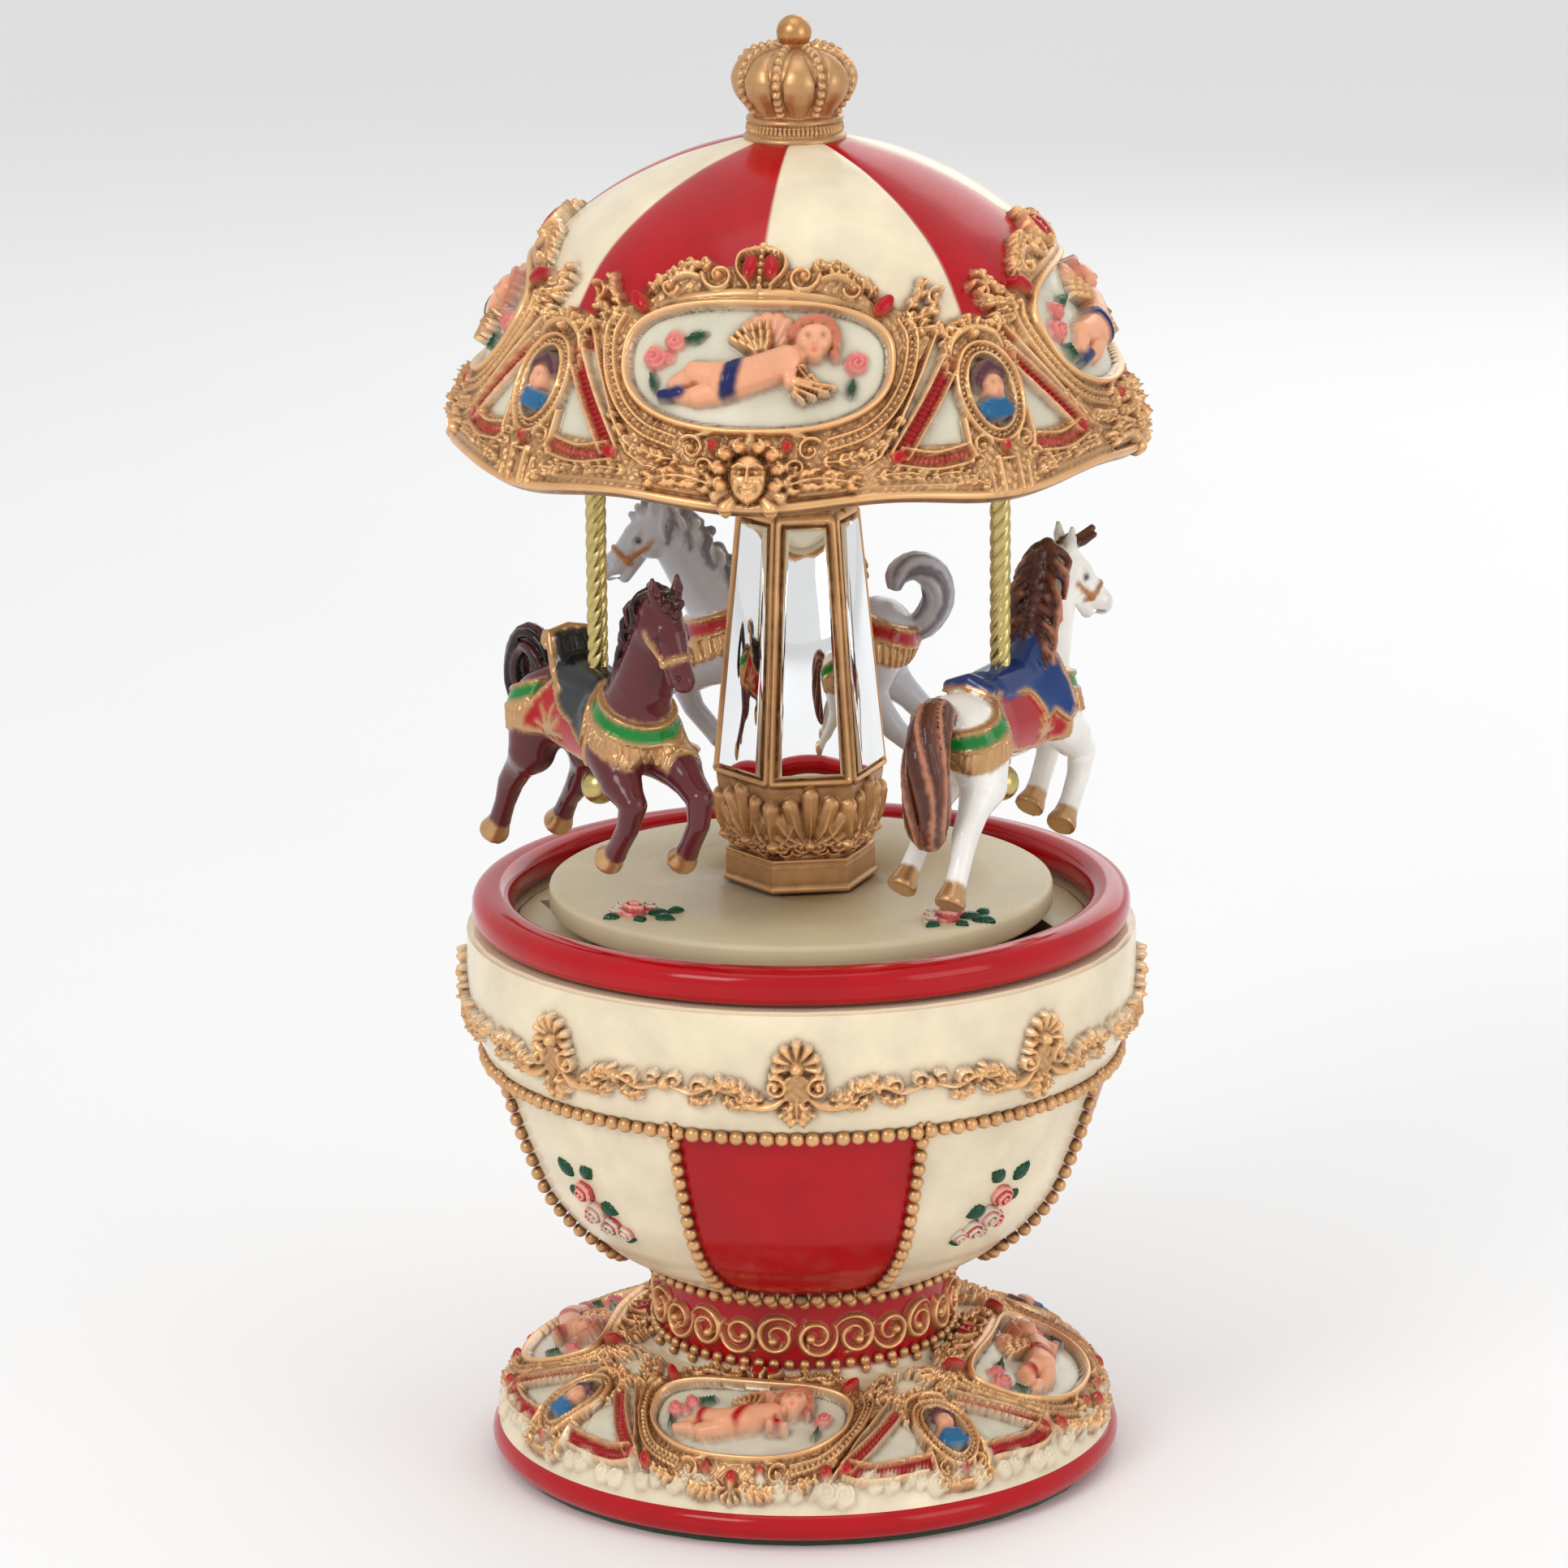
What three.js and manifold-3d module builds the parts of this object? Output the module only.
// Carousel music box: a footed egg-shaped bowl with a wind-up movement inside,
// and a three-horse carousel that the movement turns.
// Millimetres, +Z up. The origin is the centre of the underside; the front faces -Y.

import * as THREE from 'three';
import { mergeVertices } from 'three/addons/utils/BufferGeometryUtils.js';
import Module from 'manifold-3d';

const wasm = await Module();
wasm.setup();

// ---------------------------------------------------------------- driving dimensions

const TOTAL_HEIGHT = 210;
const GAP = 0.3;
const ROUND_SEGMENTS = 36;
const SMALL_SEGMENTS = 12;

// Stand
const FELT_HEIGHT = 0.8;
const FOOT_RADIUS = 44.9;
const FOOT_BAND_TOP = 5;
const FOOT_TOP = 17;
const NECK_RADIUS = 21.4;
const NECK_TOP = 29.2;
const STEM_BORE = 4;
const BOWL_BOTTOM = NECK_TOP + GAP;
const BOWL_FLOOR = 40;
const DECK_LEDGE = 76;
const DECK_RADIUS = 41;
const DECK_THICKNESS = 3.4;
const DECK_OPENING = { length: 64, width: 46 };
const BOWL_TOP = 79.4;
const RIM_INNER = 41.4;
const RIM_OUTER = 47.2;
const RIM_TOP = 85;

// Musical movement, turned about the carousel axis to lie along the deck opening
const MOVEMENT_TURN = THREE.MathUtils.degToRad(20);
const PLATE_BOTTOM = 46;
const PLATE_TOP = 47.4;
const BARREL_BOTTOM = 49;
const BARREL_TOP = 56.6;
const BARREL_RADIUS = 10.5;
const CROWN_TEETH = 30;
const PINION_TEETH = 12;
const TOOTH_HEIGHT = 1.4;
const TOOTH_WIDTH = 0.45;
const CROWN_PITCH_RADIUS = 9.6;
const PINION_PITCH_RADIUS = CROWN_PITCH_RADIUS * PINION_TEETH / CROWN_TEETH;
const TOOTH_OVERLAP = 0.35;
const ARBOR_Z = BARREL_TOP + TOOTH_HEIGHT - TOOTH_OVERLAP + PINION_PITCH_RADIUS;
const ARBOR_RADIUS = 1;
const CYLINDER_RADIUS = 6.5;
const CYLINDER_START = 12;
const CYLINDER_END = 27;
const NOTE_COUNT = 18;
const WORM_WHEEL_TEETH = 16;
const TRAIN_GEAR_TEETH = 30;
const TRAIN_PINION_TEETH = 12;
const TRAIN_CENTRES = 11.4;
const TRAIN_GEAR_X = 27.7;
const TRAIN_GEAR_WIDTH = 1.2;
const WORM_WHEEL_RADIUS = 4;
const WORM_WHEEL_X = 20;
const WORM_RADIUS = 0.9;
const FLY_X = WORM_WHEEL_X + TRAIN_GEAR_WIDTH / 2;
const FLY_Y = TRAIN_CENTRES + WORM_WHEEL_RADIUS + WORM_RADIUS + GAP;
const BRIDGE_Z = 66;
const BRIDGE_THICKNESS = 1.5;

// Winding key and its long stem through the neck
const STEM_RADIUS = 1.5;
const KEY_BOTTOM = 2;
const KEY_TOP = 9.5;
const STEM_TOP = 55;

// Turning platform, column and mirrors
const SHAFT_RADIUS = 2;
const SHAFT_TOP = 94;
const PLATFORM_RADIUS = 36.1;
const PLATFORM_BOTTOM = 81.6;
const PLATFORM_TOP = 85.5;
const COLUMN_SIDES = 6;
const COLUMN_TURN = THREE.MathUtils.degToRad(8);
const COLUMN_BOTTOM = PLATFORM_TOP + GAP;
const COLUMN_TOP = 151.8;
const MIRROR_BOTTOM = 102.6;
const MIRROR_TOP = 138.8;
const MIRROR_WIDTH = { bottom: 9.2, top: 5.6 };
const MIRROR_THICKNESS = 0.8;
const COLUMN_RADIUS = { plinth: 10.7, flare: 11.9, foot: 11.7, head: 8.1 };

// Canopy and crown
const CANOPY_EDGE = 149.2;
const CANOPY_RADIUS = 48;
const CANOPY_WALL = 3;
const CEILING_BOTTOM = 152.2;
const CEILING_THICKNESS = 2;
const CEILING_RADIUS = 43.2;
const CANOPY_CROWN_BASE = 192.4;
const FINIAL_BASE = CANOPY_CROWN_BASE + GAP;
const FINIAL_BALL_RADIUS = 2.5;

// Horses and poles
const HORSE_COUNT = 3;
const POLE_CIRCLE = 32.5;
const POLE_RADIUS = 1.35;
const POLE_BOTTOM = 106.4;
const POLE_TOP = 156;
const BALL_RADIUS = 2.3;
const BALL_CENTRE = 103.7;

// ---------------------------------------------------------------- colours

const CREAM = { color: '#ece0bd', roughness: 0.28, metalness: 0 };
const RED = { color: '#b81428', roughness: 0.22, metalness: 0 };
const BEIGE = { color: '#cdbd9a', roughness: 0.5, metalness: 0 };
const GOLD = { color: '#b98a4d', roughness: 0.4, metalness: 0.6 };
const BRASS = { color: '#bda659', roughness: 0.25, metalness: 1 };
const STEEL = { color: '#9a9a9c', roughness: 0.3, metalness: 1 };
const MIRROR = { color: '#e8eaec', roughness: 0.04, metalness: 1 };
const FELT = { color: '#2f4a35', roughness: 0.95, metalness: 0 };
const BROWN = { color: '#5a2a2e', roughness: 0.3, metalness: 0 };
const WHITE = { color: '#ece8e2', roughness: 0.35, metalness: 0 };
const GREY = { color: '#b4b0ae', roughness: 0.35, metalness: 0 };

// ---------------------------------------------------------------- geometry helpers

const carousel = new THREE.Group();

// Signed volume of an indexed triangle mesh; it is negative when the faces point inwards.
function signedVolume(positions, triangles) {
  const a = new THREE.Vector3();
  const b = new THREE.Vector3();
  const c = new THREE.Vector3();
  let volume = 0;
  for (let i = 0; i < triangles.length; i += 3) {
    a.fromArray(positions, 3 * triangles[i]);
    b.fromArray(positions, 3 * triangles[i + 1]);
    c.fromArray(positions, 3 * triangles[i + 2]);
    volume += a.dot(b.cross(c)) / 6;
  }
  return volume;
}

// Merges the shared vertices of a geometry and turns its faces outwards.
function closed(geometry) {
  const bare = geometry.clone();
  bare.deleteAttribute('normal');
  bare.deleteAttribute('uv');
  const merged = mergeVertices(bare, 1e-5);
  const positions = merged.attributes.position.array;
  const source = merged.index.array;
  const triangles = [];
  for (let i = 0; i < source.length; i += 3) {
    const [a, b, c] = [source[i], source[i + 1], source[i + 2]];
    if (a !== b && b !== c && a !== c) triangles.push(a, b, c);
  }
  if (signedVolume(positions, triangles) < 0) triangles.reverse();
  const result = new THREE.BufferGeometry();
  result.setAttribute('position', new THREE.BufferAttribute(positions, 3));
  result.setIndex(triangles);
  return result;
}

function toSolid(geometry) {
  const ready = closed(geometry);
  return new wasm.Manifold(new wasm.Mesh({
    numProp: 3,
    vertProperties: new Float32Array(ready.attributes.position.array),
    triVerts: new Uint32Array(ready.index.array),
  }));
}

function fromSolid(solid) {
  const mesh = solid.getMesh();
  const geometry = new THREE.BufferGeometry();
  geometry.setAttribute('position', new THREE.BufferAttribute(mesh.vertProperties, 3));
  geometry.setIndex(new THREE.BufferAttribute(mesh.triVerts, 1));
  return geometry;
}

function join(geometries) {
  let solid = toSolid(geometries[0]);
  for (const geometry of geometries.slice(1)) solid = solid.add(toSolid(geometry));
  return fromSolid(solid);
}

function cut(geometry, cutters) {
  let solid = toSolid(geometry);
  for (const cutter of cutters) solid = solid.subtract(toSolid(cutter));
  return fromSolid(solid);
}

// A body of revolution about Z from a closed outline of [radius, height] points.
function turned(outline, segments = ROUND_SEGMENTS, startAngle = 0) {
  const points = outline.map(([radius, height]) => new THREE.Vector2(radius, height));
  if (outline[0][0] > 0) points.push(points[0].clone());
  const lathe = new THREE.LatheGeometry(points, segments, startAngle, 2 * Math.PI);
  return lathe.rotateX(Math.PI / 2);
}

// An upright cylinder or cone between two heights.
function upright(bottomRadius, topRadius, bottom, top, segments = SMALL_SEGMENTS) {
  const height = top - bottom;
  const geometry = new THREE.CylinderGeometry(topRadius, bottomRadius, height, segments);
  return geometry.rotateX(Math.PI / 2).translate(0, 0, bottom + height / 2);
}

function ring(outer, inner, bottom, top, segments = ROUND_SEGMENTS) {
  return turned([[inner, bottom], [outer, bottom], [outer, top], [inner, top]], segments);
}

// A box given by its lowest and highest corners.
function block(low, high) {
  const size = high.map((value, i) => value - low[i]);
  const centre = high.map((value, i) => (value + low[i]) / 2);
  return new THREE.BoxGeometry(...size).translate(...centre);
}

// A flat outline of [x, y] points raised from one height to another.
function plate(outline, bottom, top) {
  const shape = new THREE.Shape(outline.map(([x, y]) => new THREE.Vector2(x, y)));
  const geometry = new THREE.ExtrudeGeometry(shape, { depth: top - bottom, bevelEnabled: false });
  return geometry.translate(0, 0, bottom);
}

// A tapered bar from one point to another; its ends run on a little into what they meet.
function limb(from, to, fromRadius, toRadius, sides = 6) {
  const start = new THREE.Vector3(...from);
  const end = new THREE.Vector3(...to);
  const along = end.clone().sub(start);
  const overrun = 0.8;
  const bar = new THREE.CylinderGeometry(toRadius, fromRadius, along.length() + overrun, sides);
  const upwards = new THREE.Vector3(0, 1, 0);
  bar.applyQuaternion(new THREE.Quaternion().setFromUnitVectors(upwards, along.clone().normalize()));
  return bar.translate(...start.clone().add(end).multiplyScalar(0.5).toArray());
}

function ellipsoid(centre, radii, sides = 10, rows = 6) {
  const geometry = new THREE.SphereGeometry(1, sides, rows);
  return geometry.scale(...radii).translate(...centre);
}

// A spur gear outline with narrow straight teeth.
function gearOutline(teeth, pitchRadius, toothWidth, depth) {
  const outline = [];
  for (let tooth = 0; tooth < teeth; tooth += 1) {
    const angle = 2 * Math.PI * tooth / teeth;
    const rootHalf = toothWidth * 0.6 / (pitchRadius - depth / 2);
    const tipHalf = toothWidth * 0.4 / (pitchRadius + depth / 2);
    const corners = [
      [pitchRadius - depth / 2, -rootHalf],
      [pitchRadius + depth / 2, -tipHalf],
      [pitchRadius + depth / 2, tipHalf],
      [pitchRadius - depth / 2, rootHalf],
    ];
    for (const [radius, offset] of corners) {
      outline.push([radius * Math.cos(angle + offset), radius * Math.sin(angle + offset)]);
    }
  }
  return outline;
}

// Turns a piece made about +Z so that it lies about +X.
function alongX(geometry) {
  return geometry.rotateY(Math.PI / 2);
}

function addNode(parent, name, geometry, finish) {
  const mesh = new THREE.Mesh(closed(geometry), new THREE.MeshStandardMaterial(finish));
  mesh.name = name;
  parent.add(mesh);
  return mesh;
}

// ---------------------------------------------------------------- stand

function footShell() {
  const outline = [
    [37.5, FELT_HEIGHT + GAP], [FOOT_RADIUS - 0.8, FELT_HEIGHT + GAP], [FOOT_RADIUS, 2],
    [FOOT_RADIUS, FOOT_BAND_TOP - 0.6], [FOOT_RADIUS - 0.6, FOOT_BAND_TOP],
    [38.6, 9.8], [31, 13], [22.4, FOOT_TOP],
    [STEM_BORE, FOOT_TOP], [STEM_BORE, FOOT_TOP - 3], [20, 12], [33, 7.4], [37.5, 4.6],
  ];
  return turned(outline);
}

function baseFelt() {
  return ring(43.2, 38, 0, FELT_HEIGHT);
}

function neckCollar() {
  const bottom = FOOT_TOP + GAP;
  const outline = [
    [STEM_BORE, bottom], [NECK_RADIUS + 0.5, bottom], [NECK_RADIUS - 0.3, bottom + 2.5],
    [NECK_RADIUS - 0.3, NECK_TOP - 2], [NECK_RADIUS, NECK_TOP], [STEM_BORE, NECK_TOP],
  ];
  return turned(outline);
}

function bowlShell() {
  const outline = [
    [STEM_BORE, BOWL_BOTTOM], [22, BOWL_BOTTOM], [28, 32.8], [34.6, 38], [38.4, 43],
    [41, 49], [45, 62], [46.6, 67.5], [47.4, 73], [47.3, BOWL_TOP],
    [RIM_INNER, BOWL_TOP], [RIM_INNER, DECK_LEDGE], [40.2, DECK_LEDGE], [40.2, 66],
    [36.2, 48], [29, BOWL_FLOOR], [STEM_BORE, BOWL_FLOOR],
  ];
  const bosses = SCREW_PLACES.map(([x, y]) => (
    upright(3, 2.6, BOWL_FLOOR - 1, PLATE_BOTTOM - GAP, 12).translate(x, y, 0)
  ));
  for (const boss of bosses) boss.rotateZ(MOVEMENT_TURN);
  const bores = SCREW_PLACES.map(([x, y]) => (
    upright(1.3, 1.3, PLATE_BOTTOM - 4.6, PLATE_BOTTOM + 1, 8).translate(x, y, 0)
  ));
  for (const bore of bores) bore.rotateZ(MOVEMENT_TURN);
  return cut(join([turned(outline), ...bosses]), bores);
}

function rimRing() {
  const bottom = BOWL_TOP + GAP;
  const outline = [
    [RIM_INNER, bottom], [RIM_OUTER - 1.2, bottom], [RIM_OUTER, bottom + 1.4],
    [RIM_OUTER, RIM_TOP - 2.6], [RIM_OUTER - 1, RIM_TOP - 0.8], [RIM_OUTER - 2.6, RIM_TOP],
    [RIM_INNER + 1.8, RIM_TOP], [RIM_INNER + 0.4, RIM_TOP - 0.9], [RIM_INNER, RIM_TOP - 2.2],
  ];
  return turned(outline);
}

function innerDeck() {
  const disc = upright(DECK_RADIUS, DECK_RADIUS, DECK_LEDGE + GAP, DECK_LEDGE + DECK_THICKNESS,
    ROUND_SEGMENTS);
  const half = [DECK_OPENING.length / 2, DECK_OPENING.width / 2];
  const opening = block([-half[0], -half[1], DECK_LEDGE - 1], [half[0], half[1], BOWL_TOP + 2]);
  return cut(disc, [opening.rotateZ(MOVEMENT_TURN)]);
}

// ---------------------------------------------------------------- musical movement

const SCREW_PLACES = [[-12, -11], [-12, 11], [28, -7]];
const COMB_SCREW_PLACES = [[15.5, -18], [23.5, -18]];
const BRIDGE_SCREW_PLACES = [[0, -18], [0, 18]];
const COMB_BED = { low: [12, -21, PLATE_TOP - 0.5], high: [27, -15, ARBOR_Z - 0.9] };
const COMB_Z = { bottom: ARBOR_Z - 0.6, top: ARBOR_Z + 0.2 };

function movementPlate() {
  const outline = [
    [-15, -14], [-4, -14], [-4, -21], [26, -21], [31, -10], [31, 10], [24, 21.5], [-4, 21.5],
    [-4, 14], [-15, 14],
  ];
  const post = block([29.6, -3.5, PLATE_TOP - 0.5], [31, 3.5, ARBOR_Z + 3]);
  const body = join([plate(outline, PLATE_BOTTOM, PLATE_TOP), block(COMB_BED.low, COMB_BED.high), post]);
  const screwBores = [...SCREW_PLACES, ...BRIDGE_SCREW_PLACES].map(([x, y]) => (
    upright(1.3, 1.3, PLATE_BOTTOM - 1, PLATE_TOP + 1, 8).translate(x, y, 0)
  ));
  const combBores = COMB_SCREW_PLACES.map(([x, y]) => (
    upright(1, 1, COMB_BED.high[2] - 3.4, COMB_BED.high[2] + 1, 8).translate(x, y, 0)
  ));
  const arborBore = alongX(upright(ARBOR_RADIUS + GAP, ARBOR_RADIUS + GAP, 28, 33, 12));
  arborBore.translate(0, 0, ARBOR_Z);
  const stemBore = upright(STEM_RADIUS + 0.5, STEM_RADIUS + 0.5, PLATE_BOTTOM - 1, PLATE_TOP + 1, 12);
  return cut(body, [...screwBores, ...combBores, arborBore, stemBore]);
}

function panScrew(headBottom, headRadius, shankRadius, shankLength) {
  const head = upright(headRadius, headRadius * 0.8, headBottom, headBottom + headRadius * 0.7, 12);
  const shank = upright(shankRadius, shankRadius, headBottom - shankLength, headBottom + 0.2, 8);
  const slot = block(
    [-headRadius, -0.25, headBottom + headRadius * 0.4],
    [headRadius, 0.25, headBottom + headRadius],
  );
  return cut(join([head, shank]), [slot]);
}

// The steel comb: one tuned tooth for each note, cut from a plate.
function steelComb() {
  const left = COMB_BED.low[0] + 0.5;
  const right = COMB_BED.high[0] - 0.5;
  const pitch = (right - left) / NOTE_COUNT;
  const tip = -(CYLINDER_RADIUS + 1);
  const outline = [[left, -20.8]];
  outline.push([right, -20.8]);
  for (let note = NOTE_COUNT - 1; note >= 0; note -= 1) {
    const toothLeft = left + note * pitch + 0.12;
    const toothRight = left + (note + 1) * pitch - 0.12;
    const root = -14.5 + 3.5 * note / NOTE_COUNT;
    outline.push([toothRight, root], [toothRight, tip], [toothLeft, tip], [toothLeft, root]);
  }
  const bores = COMB_SCREW_PLACES.map(([x, y]) => (
    upright(1.3, 1.3, COMB_Z.bottom - 1, COMB_Z.top + 1, 8).translate(x, y, 0)
  ));
  return cut(plate(outline, COMB_Z.bottom, COMB_Z.top), bores);
}

// A bridge over the spring barrel: it steadies the output shaft and the inner end of the arbor.
function barrelBridge() {
  const bottom = PLATE_TOP + GAP;
  const legOuter = 15.5;
  const legInner = 14;
  const feetEdge = 21;
  const parts = [block([-4, -legOuter, BRIDGE_Z], [4, legOuter, BRIDGE_Z + BRIDGE_THICKNESS])];
  for (const side of [-1, 1]) {
    const legY = [side * legInner, side * legOuter].sort((a, b) => a - b);
    const footY = [side * legInner, side * feetEdge].sort((a, b) => a - b);
    parts.push(block([-4, legY[0], bottom], [4, legY[1], BRIDGE_Z + 0.5]));
    parts.push(block([-3.6, footY[0], bottom], [3.6, footY[1], bottom + 1.2]));
  }
  parts.push(block([3.6, -3, ARBOR_Z - 2.4], [5.2, 3, BRIDGE_Z + BRIDGE_THICKNESS - 0.2]));
  const shaftBore = upright(SHAFT_RADIUS + GAP, SHAFT_RADIUS + GAP, BRIDGE_Z - 1, BRIDGE_Z + 3, 16);
  const arborBore = alongX(upright(ARBOR_RADIUS + GAP, ARBOR_RADIUS + GAP, 2.5, 6, 12));
  arborBore.translate(0, 0, ARBOR_Z);
  const screwBores = BRIDGE_SCREW_PLACES.map(([x, y]) => (
    upright(1.3, 1.3, bottom - 1, bottom + 2, 8).translate(x, y, 0)
  ));
  return cut(join(parts), [shaftBore, arborBore, ...screwBores]);
}

// The governor frame: an upright plate with arms that hold the worm wheel and the fly.
function governorFrame() {
  const bottom = PLATE_TOP + GAP;
  const backY = [FLY_Y + 2.6, FLY_Y + 3.8];
  const top = ARBOR_Z + 13;
  const parts = [
    block([FLY_X - 3, backY[0], bottom], [FLY_X + 3, backY[1], top]),
    block([FLY_X - 1.8, FLY_Y - 1.6, bottom], [FLY_X + 1.8, backY[1], bottom + 1.4]),
    block([FLY_X - 1.8, FLY_Y - 1.6, top - 1.2], [FLY_X + 1.8, backY[1], top]),
    block([FLY_X - 5.4, TRAIN_CENTRES - 2, bottom], [FLY_X - 4.2, backY[1], ARBOR_Z + 2]),
    block([FLY_X + 4.2, TRAIN_CENTRES - 2, bottom], [FLY_X + 5.4, backY[1], ARBOR_Z + 2]),
    block([FLY_X - 5.4, backY[0], bottom], [FLY_X + 5.4, backY[1], ARBOR_Z + 2]),
  ];
  const flyBore = upright(0.9, 0.9, bottom + 0.4, top + 1, 8).translate(FLY_X, FLY_Y, 0);
  const wheelBore = alongX(upright(1, 1, FLY_X - 8, FLY_X + 8, 8));
  wheelBore.translate(0, TRAIN_CENTRES, ARBOR_Z);
  return cut(join(parts), [flyBore, wheelBore]);
}

// The spring barrel: a cup with crown teeth round its open top.
function springBarrel() {
  const outline = [
    [2.2, BARREL_BOTTOM], [BARREL_RADIUS, BARREL_BOTTOM], [BARREL_RADIUS, BARREL_TOP],
    [9, BARREL_TOP], [9, BARREL_BOTTOM + 1], [2.2, BARREL_BOTTOM + 1],
  ];
  const parts = [turned(outline, CROWN_TEETH)];
  for (let tooth = 0; tooth < CROWN_TEETH; tooth += 1) {
    const half = TOOTH_WIDTH / 2;
    const low = [9.05, -half, BARREL_TOP - 0.3];
    const high = [10.3, half, BARREL_TOP + TOOTH_HEIGHT];
    parts.push(block(low, high).rotateZ(2 * Math.PI * (tooth + 0.5) / CROWN_TEETH));
  }
  return join(parts);
}

// The mainspring: a flat steel strip wound in a spiral inside the barrel.
function mainspring() {
  const turns = 3.5;
  const steps = 56;
  const innerRadius = 2.9;
  const outerRadius = 8.3;
  const thickness = 0.35;
  const inside = [];
  const outside = [];
  for (let i = 0; i <= steps; i += 1) {
    const angle = 2 * Math.PI * turns * i / steps;
    const radius = innerRadius + (outerRadius - innerRadius) * i / steps;
    inside.push([radius * Math.cos(angle), radius * Math.sin(angle)]);
    const outer = radius + thickness;
    outside.unshift([outer * Math.cos(angle), outer * Math.sin(angle)]);
  }
  return plate([...inside, ...outside], BARREL_BOTTOM + 1 + GAP, BARREL_TOP - 1.6);
}

// The barrel cover carries the output shaft up to the carousel platform.
function outputShaft() {
  const coverTop = BARREL_TOP + 0.2;
  const flangeTop = PLATFORM_BOTTOM - GAP;
  const outline = [
    [0, BARREL_TOP - 1], [8.6, BARREL_TOP - 1], [8.6, coverTop], [SHAFT_RADIUS, coverTop],
    [SHAFT_RADIUS, flangeTop - 1.4], [5, flangeTop - 1.4], [5, flangeTop],
    [SHAFT_RADIUS, flangeTop], [SHAFT_RADIUS, SHAFT_TOP], [0, SHAFT_TOP],
  ];
  return turned(outline, 20);
}

function driveNut() {
  const bottom = PLATFORM_TOP + GAP;
  const outline = [[SHAFT_RADIUS + GAP, bottom], [4, bottom], [4, bottom + 3], [SHAFT_RADIUS + GAP, bottom + 3]];
  return turned(outline, COLUMN_SIDES);
}

function pinCylinder() {
  const parts = [alongX(upright(CYLINDER_RADIUS, CYLINDER_RADIUS, CYLINDER_START, CYLINDER_END, 32))];
  const pitch = (CYLINDER_END - CYLINDER_START - 1) / NOTE_COUNT;
  for (let pin = 0; pin < NOTE_COUNT; pin += 1) {
    const x = CYLINDER_START + 0.5 + (pin + 0.5) * pitch;
    const peg = block([x - 0.15, -0.15, CYLINDER_RADIUS - 0.3], [x + 0.15, 0.15, CYLINDER_RADIUS + 0.4]);
    parts.push(peg.rotateX(2 * Math.PI * ((pin * 7) % NOTE_COUNT) / NOTE_COUNT));
  }
  const bore = alongX(upright(ARBOR_RADIUS + GAP, ARBOR_RADIUS + GAP, 10, 30, 12));
  return cut(join(parts), [bore]).translate(0, 0, ARBOR_Z);
}

// The arbor carries the small pinion that meets the crown teeth and the large train gear.
function cylinderArbor() {
  const bar = upright(ARBOR_RADIUS, ARBOR_RADIUS, 3.4, 31.4, 12);
  const pinion = plate(gearOutline(PINION_TEETH, PINION_PITCH_RADIUS, TOOTH_WIDTH, 1), 9.1, 10.3);
  const pitchRadius = TRAIN_CENTRES * TRAIN_GEAR_TEETH / (TRAIN_GEAR_TEETH + TRAIN_PINION_TEETH);
  const gear = plate(
    gearOutline(TRAIN_GEAR_TEETH, pitchRadius, TOOTH_WIDTH, 0.8),
    TRAIN_GEAR_X,
    TRAIN_GEAR_X + TRAIN_GEAR_WIDTH,
  );
  return alongX(join([bar, pinion, gear])).translate(0, 0, ARBOR_Z);
}

// The governor wheel: a pinion driven by the train gear and a worm wheel on one arbor.
function governorWheel() {
  const pitchRadius = TRAIN_CENTRES * TRAIN_PINION_TEETH / (TRAIN_GEAR_TEETH + TRAIN_PINION_TEETH);
  const outline = gearOutline(TRAIN_PINION_TEETH, pitchRadius, TOOTH_WIDTH, 0.8);
  const pinion = plate(outline, TRAIN_GEAR_X, TRAIN_GEAR_X + TRAIN_GEAR_WIDTH);
  const wheel = plate(
    gearOutline(WORM_WHEEL_TEETH, WORM_WHEEL_RADIUS - 0.4, TOOTH_WIDTH, 0.8),
    WORM_WHEEL_X,
    WORM_WHEEL_X + TRAIN_GEAR_WIDTH,
  );
  const bar = upright(0.7, 0.7, FLY_X - 6, TRAIN_GEAR_X + TRAIN_GEAR_WIDTH + 0.3, 8);
  return alongX(join([bar, pinion, wheel])).translate(0, TRAIN_CENTRES, ARBOR_Z);
}

// The governor fly: a worm on an upright arbor with two air vanes.
function governorFly() {
  const bottom = PLATE_TOP + GAP + 0.7;
  const top = ARBOR_Z + 12.6;
  const bar = upright(0.6, 0.6, bottom, top, 8);
  const worm = upright(WORM_RADIUS, WORM_RADIUS, ARBOR_Z - 2.5, ARBOR_Z + 2.5, 10);
  const vanes = block([-2.4, -0.25, ARBOR_Z + 5.2], [2.4, 0.25, ARBOR_Z + 10.6]);
  return join([bar, worm, vanes]).translate(FLY_X, FLY_Y, 0);
}

// ---------------------------------------------------------------- winding key

function keyStem() {
  const outline = [
    [0, KEY_TOP + GAP], [STEM_RADIUS, KEY_TOP + GAP], [STEM_RADIUS, BARREL_BOTTOM + 1.5],
    [2.4, BARREL_BOTTOM + 1.5], [2.4, STEM_TOP - 1], [STEM_RADIUS, STEM_TOP - 0.6], [0, STEM_TOP - 0.6],
  ];
  return turned(outline, SMALL_SEGMENTS);
}

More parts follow.
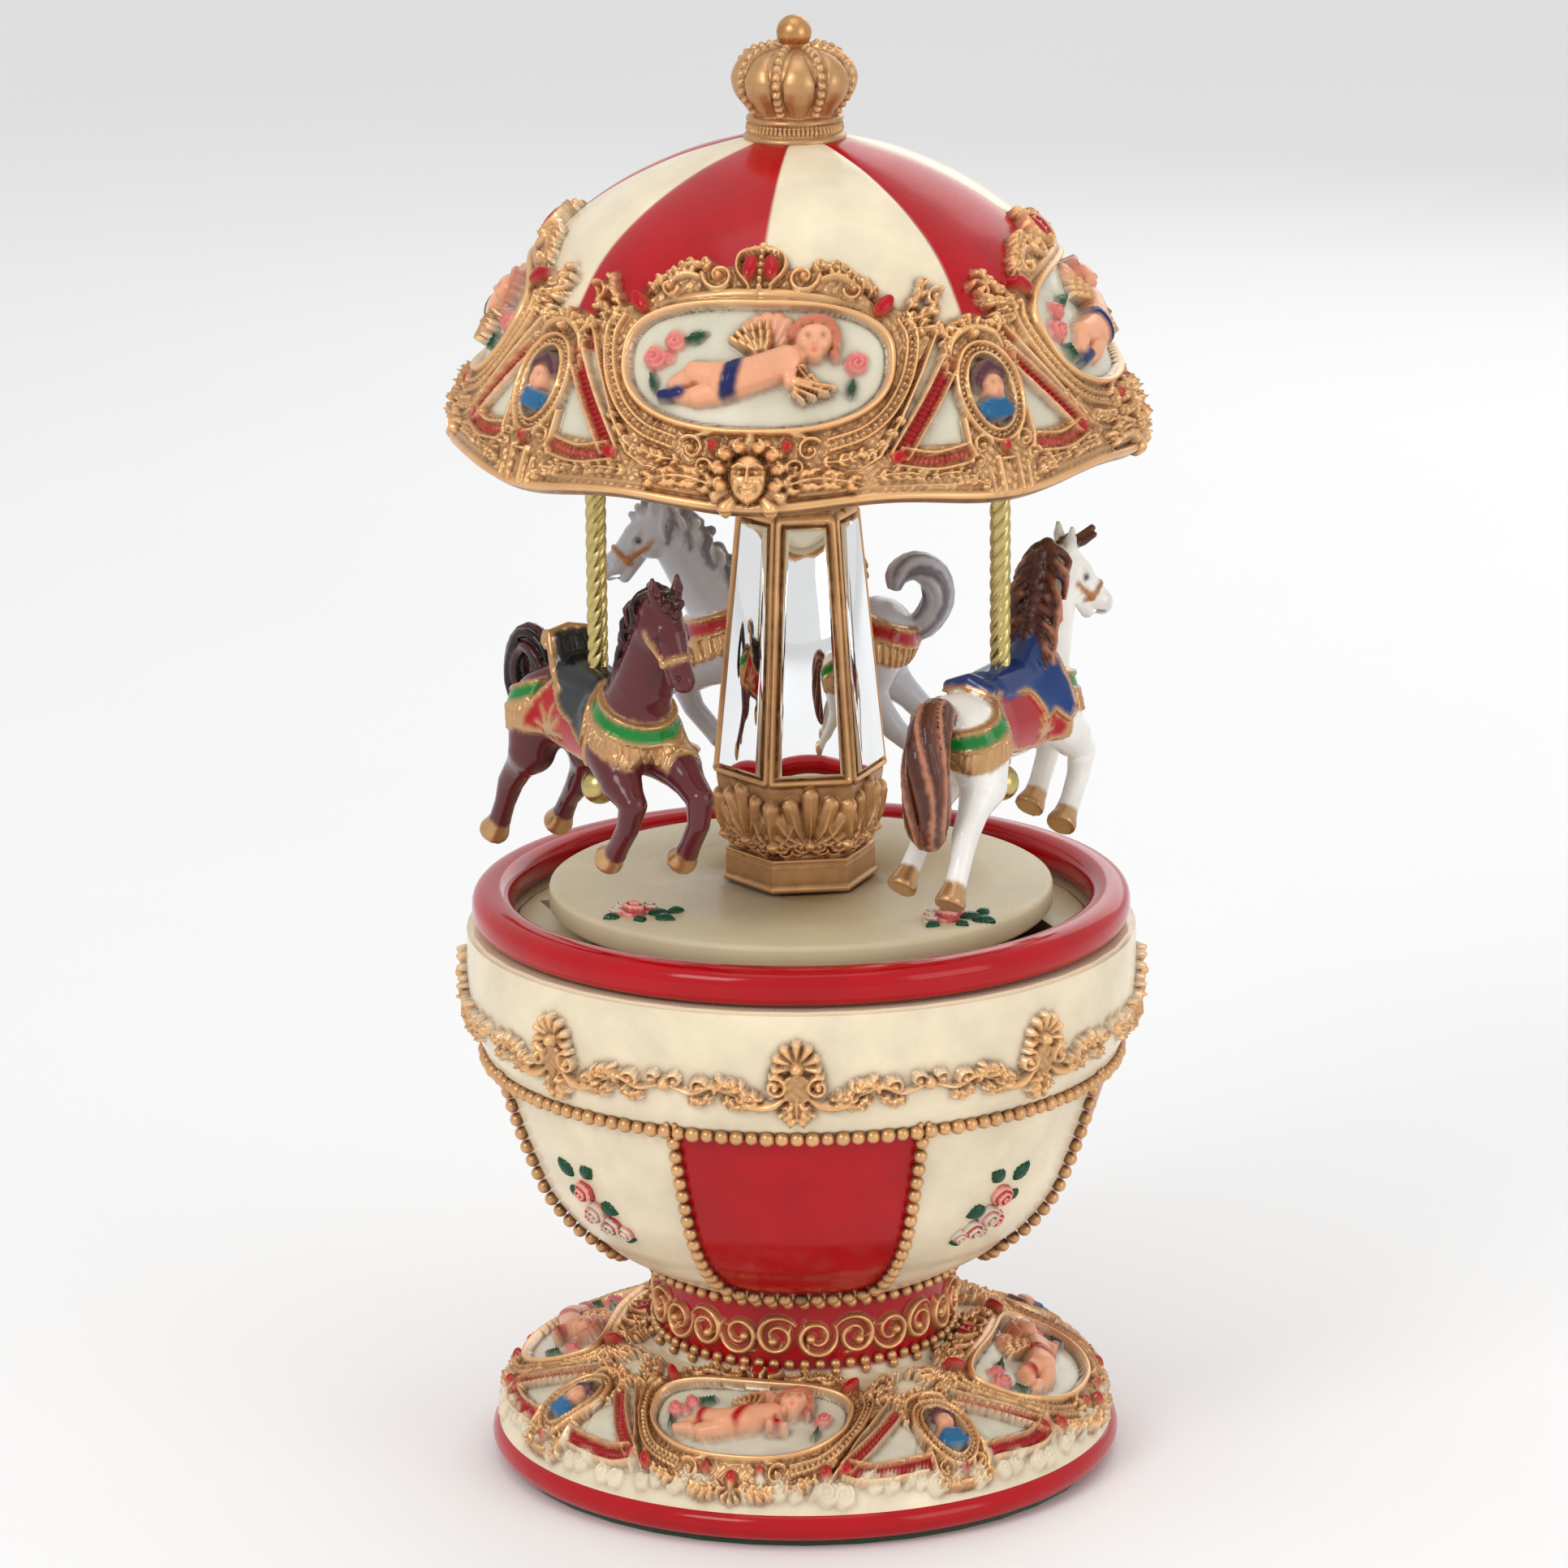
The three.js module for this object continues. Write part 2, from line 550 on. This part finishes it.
function windingKey() {
  const shape = new THREE.Shape();
  shape.absellipse(0, 0, 5.5, 3.4, 0, 2 * Math.PI);
  const eye = new THREE.Path();
  eye.absellipse(0.6, 0, 2.6, 1.4, 0, 2 * Math.PI);
  shape.holes.push(eye);
  const options = { depth: 1.6, bevelEnabled: false, curveSegments: 10 };
  const parts = [upright(2.6, 2.2, KEY_BOTTOM, KEY_TOP, 12)];
  for (const side of [-1, 1]) {
    const wing = new THREE.ExtrudeGeometry(shape, options).translate(0, 0, -0.8);
    wing.rotateX(Math.PI / 2);
    if (side < 0) wing.rotateZ(Math.PI);
    parts.push(wing.translate(side * 7.2, 0, KEY_BOTTOM + 3.4));
  }
  return join(parts);
}

// ---------------------------------------------------------------- platform, column, mirrors

function platform() {
  const outline = [
    [SHAFT_RADIUS + GAP, PLATFORM_BOTTOM], [PLATFORM_RADIUS - 1.2, PLATFORM_BOTTOM],
    [PLATFORM_RADIUS - 0.2, PLATFORM_BOTTOM + 1], [PLATFORM_RADIUS, PLATFORM_TOP - 1],
    [PLATFORM_RADIUS - 0.8, PLATFORM_TOP], [SHAFT_RADIUS + GAP, PLATFORM_TOP],
  ];
  return turned(outline);
}

// Corner radius of the six-sided column at a height in its mirrored stretch.
function columnRadius(height) {
  const share = (height - MIRROR_BOTTOM) / (MIRROR_TOP - MIRROR_BOTTOM);
  return THREE.MathUtils.lerp(COLUMN_RADIUS.foot, COLUMN_RADIUS.head, share);
}

function mirrorColumn() {
  const radius = COLUMN_RADIUS;
  const nutRoom = 5.2;
  const outline = [
    [0, SHAFT_TOP + 2], [nutRoom, SHAFT_TOP + 2], [nutRoom, COLUMN_BOTTOM],
    [radius.plinth, COLUMN_BOTTOM], [radius.plinth, 90], [radius.plinth - 0.9, 91],
    [radius.flare - 0.6, 97], [radius.flare, 101], [radius.foot, MIRROR_BOTTOM],
    [radius.head, MIRROR_TOP], [radius.head - 0.1, 148], [radius.head, COLUMN_TOP],
    [0, COLUMN_TOP],
  ];
  return turned(outline, COLUMN_SIDES, Math.PI / COLUMN_SIDES);
}

// One mirror: a tapered glass plate with bevelled edges, leaning with its face of the column.
function mirror() {
  const apothem = Math.cos(Math.PI / COLUMN_SIDES);
  const low = columnRadius(MIRROR_BOTTOM) * apothem;
  const high = columnRadius(MIRROR_TOP) * apothem;
  const rise = MIRROR_TOP - MIRROR_BOTTOM;
  const lean = Math.atan2(low - high, rise);
  const length = Math.hypot(rise, low - high) - 0.6;
  const outline = [
    [-MIRROR_WIDTH.bottom / 2, 0], [MIRROR_WIDTH.bottom / 2, 0],
    [MIRROR_WIDTH.top / 2, length], [-MIRROR_WIDTH.top / 2, length],
  ];
  const glass = plate(outline, GAP, GAP + MIRROR_THICKNESS);
  glass.rotateX(Math.PI / 2);
  glass.rotateX(-lean);
  return glass.translate(0, -low, MIRROR_BOTTOM + 0.4);
}

// ---------------------------------------------------------------- canopy and crown

function canopyShell() {
  const outer = [
    [0, CANOPY_CROWN_BASE], [6.7, CANOPY_CROWN_BASE], [16.9, 189.4], [26, 184.8],
    [33.4, 178.7], [39.6, 169], [44.4, 159.4], [CANOPY_RADIUS - 0.5, 151.5],
    [CANOPY_RADIUS, CANOPY_EDGE],
  ];
  const lip = [[CANOPY_RADIUS - CANOPY_WALL, CANOPY_EDGE], [CEILING_RADIUS + 0.5, 155]];
  const inner = outer.slice(2, 6).map(([radius, height]) => [radius - 2.2, height - 2.2]);
  return turned([...outer, ...lip, ...inner.reverse(), [0, CANOPY_CROWN_BASE - 2.4]]);
}

function poleAngles() {
  return Array.from({ length: HORSE_COUNT }, (_, i) => (-60 + 120 * i) * Math.PI / 180);
}

// Angles run from the front of the box towards +X.
function polePlace(angle) {
  return [POLE_CIRCLE * Math.sin(angle), -POLE_CIRCLE * Math.cos(angle)];
}

function canopyCeiling() {
  const top = CEILING_BOTTOM + CEILING_THICKNESS;
  const disc = upright(CEILING_RADIUS, CEILING_RADIUS, CEILING_BOTTOM, top, ROUND_SEGMENTS);
  const bores = poleAngles().map((angle) => (
    upright(POLE_RADIUS + GAP, POLE_RADIUS + GAP, CEILING_BOTTOM - 1, top + 1, 12)
      .translate(...polePlace(angle), 0)
  ));
  return cut(disc, bores);
}

function crownFinial() {
  const ballCentre = TOTAL_HEIGHT - FINIAL_BALL_RADIUS;
  const outline = [
    [0, FINIAL_BASE], [6.9, FINIAL_BASE], [6.9, 193.4], [6.3, 193.8], [6.5, 195.2], [5.8, 196],
    [6.6, 197.6], [7.7, 199.2], [8.1, 201], [7.6, 203], [6, 204.6], [3.6, 205.2], [1.9, 205.4],
  ];
  for (const step of [-35, -10, 20, 50]) {
    const angle = THREE.MathUtils.degToRad(step);
    outline.push([
      FINIAL_BALL_RADIUS * Math.cos(angle),
      ballCentre + FINIAL_BALL_RADIUS * Math.sin(angle),
    ]);
  }
  outline.push([0, TOTAL_HEIGHT]);
  return turned(outline, 20);
}

// ---------------------------------------------------------------- horses and poles

function pole() {
  return upright(POLE_RADIUS, POLE_RADIUS, POLE_BOTTOM, POLE_TOP, 12);
}

function poleBall() {
  return new THREE.SphereGeometry(BALL_RADIUS, 12, 8).translate(0, 0, BALL_CENTRE);
}

// A leaping horse that faces +X, with the pole on the Z axis.
// The pose gives the muzzle and the four hooves as [x, y, z] points.
function horse(pose) {
  const parts = [
    ellipsoid([0, 0, 112.8], [15.5, 5.4, 6.2]),
    ellipsoid([-11.5, 0, 113.2], [6.6, 5.6, 6.8], 8, 5),
    ellipsoid([11, 0, 113], [5.8, 5.2, 6.6], 8, 5),
    limb([11.5, 0, 115], pose.poll, 5, 3),
    limb(pose.poll, pose.muzzle, 3.3, 2),
    limb([-8.2, 0, 117.5], [-7.6, 0, 121.5], 2.2, 1.8),
    limb([-16, 0, 117], pose.tailTop, 2, 2),
    limb(pose.tailTop, pose.tailEnd, 2.4, 1.5),
  ];
  for (const leg of pose.foreLegs) {
    parts.push(limb([11.5, leg.side * 3.2, 110.5], leg.knee, 3, 1.9));
    parts.push(limb(leg.knee, leg.hoof, 1.7, 1.7));
  }
  for (const leg of pose.hindLegs) {
    parts.push(limb([-12, leg.side * 3.2, 110.5], leg.hock, 3.6, 1.9));
    parts.push(limb(leg.hock, leg.hoof, 1.7, 1.8));
  }
  const poleBore = upright(POLE_RADIUS + GAP, POLE_RADIUS + GAP, 90, 130, 12);
  return cut(join(parts), [poleBore]);
}

const HEAD_LOW = { poll: [18, 0, 131.5], muzzle: [22.6, 0, 123.4] };
const HEAD_RAISED = { poll: [17, 0, 131.5], muzzle: [25, 0, 124.4] };

const TUCKED_LEGS = {
  foreLegs: [
    { side: -1, knee: [17, -3.8, 105], hoof: [11, -4.2, 96.6] },
    { side: 1, knee: [22, 3.6, 106], hoof: [17, 3.8, 96.4] },
  ],
  hindLegs: [
    { side: -1, hock: [-18.6, -4.2, 101], hoof: [-22.6, -4.6, 92.6] },
    { side: 1, hock: [-13.4, 3.8, 100.4], hoof: [-20, 4.2, 93.4] },
  ],
};

const HORSES = [
  { name: 'horse_brown', finish: BROWN, head: HEAD_LOW, tailTop: [-20, -1.6, 119], tailEnd: [-22.4, -2, 109] },
  { name: 'horse_white', finish: WHITE, head: HEAD_RAISED, tailTop: [-19, 0.6, 117], tailEnd: [-20.4, 1.6, 103] },
  { name: 'horse_grey', finish: GREY, head: HEAD_RAISED, tailTop: [-18.4, 0, 121], tailEnd: [-21, 0, 112] },
];

// ---------------------------------------------------------------- assembly

function addStand() {
  addNode(carousel, 'base_felt', baseFelt(), FELT);
  addNode(carousel, 'foot_shell', footShell(), CREAM);
  addNode(carousel, 'neck_collar', neckCollar(), RED);
  addNode(carousel, 'bowl_shell', bowlShell(), CREAM);
  addNode(carousel, 'rim_ring', rimRing(), RED);
  addNode(carousel, 'inner_deck', innerDeck(), BEIGE);
}

function addMovement() {
  const movement = new THREE.Group();
  movement.rotation.z = MOVEMENT_TURN;
  carousel.add(movement);
  addNode(movement, 'movement_plate', movementPlate(), BRASS);
  addNode(movement, 'steel_comb', steelComb(), STEEL);
  addNode(movement, 'barrel_bridge', barrelBridge(), BRASS);
  addNode(movement, 'governor_frame', governorFrame(), BRASS);
  addNode(movement, 'spring_barrel', springBarrel(), BRASS);
  addNode(movement, 'mainspring', mainspring(), STEEL);
  addNode(movement, 'output_shaft', outputShaft(), STEEL);
  addNode(movement, 'pin_cylinder', pinCylinder(), BRASS);
  addNode(movement, 'cylinder_arbor', cylinderArbor(), STEEL);
  addNode(movement, 'governor_wheel', governorWheel(), BRASS);
  addNode(movement, 'governor_fly', governorFly(), BRASS);
  SCREW_PLACES.forEach(([x, y], i) => {
    const screw = addNode(movement, `movement_screw_${i + 1}`, panScrew(PLATE_TOP + GAP, 2.2, 1, 4.6), STEEL);
    screw.position.set(x, y, 0);
  });
  COMB_SCREW_PLACES.forEach(([x, y], i) => {
    const screw = addNode(movement, `comb_screw_${i + 1}`, panScrew(COMB_Z.top + GAP, 1.8, 0.7, 3.4), STEEL);
    screw.position.set(x, y, 0);
  });
  BRIDGE_SCREW_PLACES.forEach(([x, y], i) => {
    const headBottom = PLATE_TOP + GAP + 1.2 + GAP;
    const screw = addNode(movement, `bridge_screw_${i + 1}`, panScrew(headBottom, 1.8, 1, 2.9), STEEL);
    screw.position.set(x, y, 0);
  });
}

function addWinder() {
  addNode(carousel, 'key_stem', keyStem(), STEEL);
  addNode(carousel, 'winding_key', windingKey(), BRASS);
}

function addTurningPart() {
  addNode(carousel, 'platform', platform(), BEIGE);
  addNode(carousel, 'drive_nut', driveNut(), STEEL);
  const column = addNode(carousel, 'mirror_column', mirrorColumn(), GOLD);
  column.rotation.z = COLUMN_TURN;
  for (let i = 0; i < COLUMN_SIDES; i += 1) {
    const face = addNode(carousel, `mirror_${i + 1}`, mirror(), MIRROR);
    face.rotation.z = COLUMN_TURN + 2 * Math.PI * i / COLUMN_SIDES;
  }
  addNode(carousel, 'canopy_ceiling', canopyCeiling(), CREAM);
  addNode(carousel, 'canopy_shell', canopyShell(), CREAM);
  addNode(carousel, 'crown_finial', crownFinial(), GOLD);
}

function addHorses() {
  poleAngles().forEach((angle, i) => {
    const { name, finish, head, tailTop, tailEnd } = HORSES[i];
    const station = new THREE.Group();
    station.position.set(...polePlace(angle), 0);
    station.rotation.z = angle;
    carousel.add(station);
    addNode(station, `pole_${i + 1}`, pole(), BRASS);
    addNode(station, `pole_ball_${i + 1}`, poleBall(), BRASS);
    addNode(station, name, horse({ ...head, ...TUCKED_LEGS, tailTop, tailEnd }), finish);
  });
}

addStand();
addMovement();
addWinder();
addTurningPart();
addHorses();

export default carousel;
